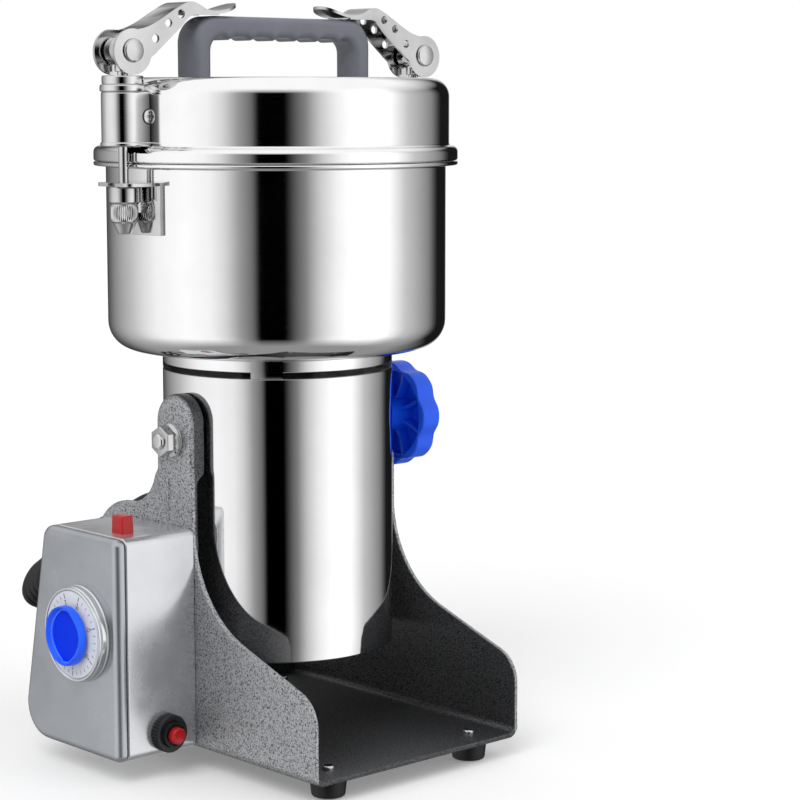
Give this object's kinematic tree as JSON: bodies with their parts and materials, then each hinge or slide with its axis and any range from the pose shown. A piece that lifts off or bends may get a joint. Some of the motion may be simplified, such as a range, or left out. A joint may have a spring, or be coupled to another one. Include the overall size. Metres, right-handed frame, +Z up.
{
  "type": "electric grain mill",
  "caption": "Swing-type electric grain mill: a steel bowl with a clamped lid on a motor pod that tilts between two ear plates, with a side control box.",
  "frame": {"origin": "on the table, under the middle of the whole machine without its cord", "axes": "+Z up, the front of the base faces -Y, the control box is on the -X side"},
  "size_m": [0.2812, 0.3053, 0.4496],
  "materials": {
    "grey_enamel": "hammered satin",
    "silver_enamel": "fine metallic satin",
    "stainless": "polished",
    "brushed_steel": "fine brushed",
    "zinc_steel": "bright plated",
    "blade_steel": "ground",
    "blue_plastic": "gloss",
    "red_plastic": "gloss",
    "grey_plastic": "satin",
    "black_plastic": "satin",
    "dial_face": "satin",
    "black_rubber": "matt",
    "white_silicone": "satin",
    "core_iron": "dull",
    "copper": "enamelled",
    "cast_aluminium": "cast"
  },
  "bodies": {
    "base": {"base_frame": "grey_enamel", "feet": "black_rubber", "foot_screws": "zinc_steel", "pivot_studs": "zinc_steel", "pivot_washers": "zinc_steel", "pivot_nut": "zinc_steel", "control_box": "silver_enamel", "control_cover": "silver_enamel", "timer_bezel": "dial_face", "timer_dial": "dial_face", "timer_body": "black_plastic", "switch_body": "black_plastic", "breaker_body": "black_plastic", "breaker_nut": "black_plastic", "cord_gland": "black_rubber", "power_cord": "black_rubber", "cord_hank": "black_rubber", "cord_tie": "black_plastic", "plug": "black_plastic"},
    "head": {"motor_shell": "stainless", "motor_cap": "black_plastic", "lower_plate": "cast_aluminium", "top_plate": "cast_aluminium", "bearings": "zinc_steel", "collar": "brushed_steel", "seal_housing": "cast_aluminium", "shaft_seal": "black_rubber", "stator": "core_iron", "field_coils": "copper", "brush_holders": "black_plastic", "carbon_brushes": "core_iron", "bowl": "stainless", "lid": "stainless", "lid_seal": "white_silicone", "handle": "grey_plastic", "handle_screws": "zinc_steel", "latch_block_left": "zinc_steel", "latch_block_right": "zinc_steel", "latch_bracket_left": "stainless", "latch_bracket_right": "stainless"},
    "rotor": {"motor_shaft": "blade_steel", "armature": "core_iron", "commutator": "copper", "cooling_fan": "black_plastic", "lower_blade": "blade_steel", "blade_spacer": "blade_steel", "upper_blade": "blade_steel", "blade_nut": "zinc_steel"},
    "knob": {"lock_knob": "blue_plastic"},
    "timer": {"timer_knob": "blue_plastic"},
    "power": {"power_button": "red_plastic"},
    "reset": {"reset_button": "red_plastic"},
    "rod_left": {"latch_rod_left": "zinc_steel", "latch_pin_left": "zinc_steel", "thimble_nut_left": "zinc_steel"},
    "rod_right": {"latch_rod_right": "zinc_steel", "latch_pin_right": "zinc_steel", "thimble_nut_right": "zinc_steel"},
    "lever_left": {"latch_lever_left": "zinc_steel"},
    "lever_right": {"latch_lever_right": "zinc_steel"}
  },
  "joints": [
    {"name": "tilt", "type": "hinge", "parent": "base", "child": "head", "pos_m": [0.0149, 0.0091, 0.1952], "axis": [1, 0, 0], "range_deg": [0, 100]},
    {"name": "lock_knob_turn", "type": "hinge", "parent": "base", "child": "knob", "pos_m": [0.1129, 0.0091, 0.1952], "axis": [1, 0, 0], "range_deg": [0, 180]},
    {"name": "timer_turn", "type": "hinge", "parent": "base", "child": "timer", "pos_m": [-0.1351, 0.025, 0.0855], "axis": [-1, 0, 0], "range_deg": [0, 330]},
    {"name": "power_press", "type": "slide", "parent": "base", "child": "power", "axis": [0, 0, -1], "range_m": [0, 0.003], "stiffness_N_per_m": 600, "springref_m": -0.001},
    {"name": "reset_press", "type": "slide", "parent": "base", "child": "reset", "axis": [0, 1, 0], "range_m": [0, 0.0025], "stiffness_N_per_m": 800, "springref_m": -0.001},
    {"name": "rotor_spin", "type": "hinge", "parent": "head", "child": "rotor", "pos_m": [0.0149, 0.0091, 0.15], "axis": [0, 0, 1], "continuous": true},
    {"name": "latch_rod_left_drop", "type": "slide", "parent": "head", "child": "rod_left", "axis": [0, 0, -1], "range_m": [0, 0.0011]},
    {"name": "latch_lever_left_turn", "type": "hinge", "parent": "rod_left", "child": "lever_left", "pos_m": [-0.0977, 0.0091, 0.42085], "axis": [0, -1, 0], "range_deg": [0, 150]},
    {"name": "latch_rod_right_drop", "type": "slide", "parent": "head", "child": "rod_right", "axis": [0, 0, -1], "range_m": [0, 0.0011]},
    {"name": "latch_lever_right_turn", "type": "hinge", "parent": "rod_right", "child": "lever_right", "pos_m": [0.1275, 0.0091, 0.42085], "axis": [0, 1, 0], "range_deg": [0, 150]}
  ],
  "couplings": [
    {"joint": "latch_rod_left_drop", "follows": "latch_lever_left_turn", "m_per_rad": 0.00042},
    {"joint": "latch_rod_right_drop", "follows": "latch_lever_right_turn", "m_per_rad": 0.00042}
  ]
}
